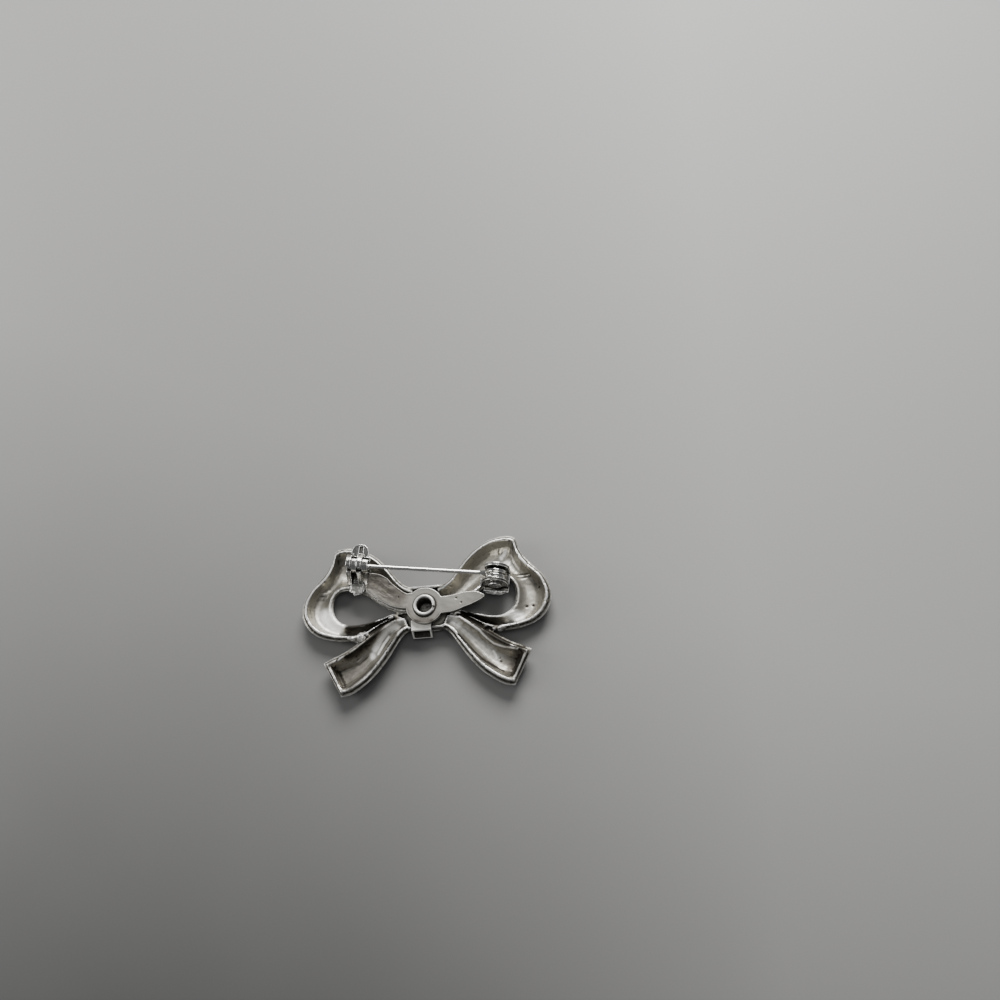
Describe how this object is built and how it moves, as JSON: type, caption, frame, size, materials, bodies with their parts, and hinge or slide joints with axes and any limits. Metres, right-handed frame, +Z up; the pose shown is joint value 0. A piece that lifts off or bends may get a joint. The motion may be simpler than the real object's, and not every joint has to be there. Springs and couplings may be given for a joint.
{
  "type": "bow brooch",
  "caption": "Bow-shaped brooch seen from its hollow back, with a hinged pin, a roll-over safety catch and a round hub plate with a hollow rivet.",
  "frame": {"origin": "middle of the footprint, on the surface that the brooch lies on, face down", "axes": "+X to the viewer's right across the bow as seen from its back, towards the pin's hinge; +Y towards the tops of the loops; +Z up, out of the back"},
  "size_m": [0.0446, 0.0274, 0.0076],
  "materials": {
    "bow": "aged silver with dark tarnish in the hollows",
    "knot": "aged silver",
    "hub_plate": "satin silver, worn, with pits",
    "eyelet": "rubbed bright silver",
    "box_tube": "satin silver, dark inside",
    "catch_frame": "polished silver, dark in the corners",
    "catch_rotor": "polished silver",
    "hinge_bracket": "satin silver, dark in the corners",
    "hinge_rivet": "polished silver",
    "pin_stem": "polished drawn wire"
  },
  "bodies": {
    "brooch": {"bow": "bow", "knot": "knot", "hub_plate": "hub_plate", "eyelet": "eyelet", "box_tube": "box_tube", "catch_frame": "catch_frame", "hinge_bracket": "hinge_bracket", "hinge_rivet": "hinge_rivet"},
    "pin": {"pin_stem": "pin_stem"},
    "catch_sleeve": {"catch_rotor": "catch_rotor"}
  },
  "joints": [
    {"name": "pin_swing", "type": "hinge", "parent": "brooch", "child": "pin", "pos_m": [0.01304, 0.00588, 0.0054], "axis": [0.1403, 0.9901, 0], "range_deg": [0, 100]},
    {"name": "sleeve_turn", "type": "hinge", "parent": "brooch", "child": "catch_sleeve", "pos_m": [-0.01206, 0.00943, 0.0054], "axis": [0.9901, -0.1403, 0], "range_deg": [0, 100]}
  ]
}
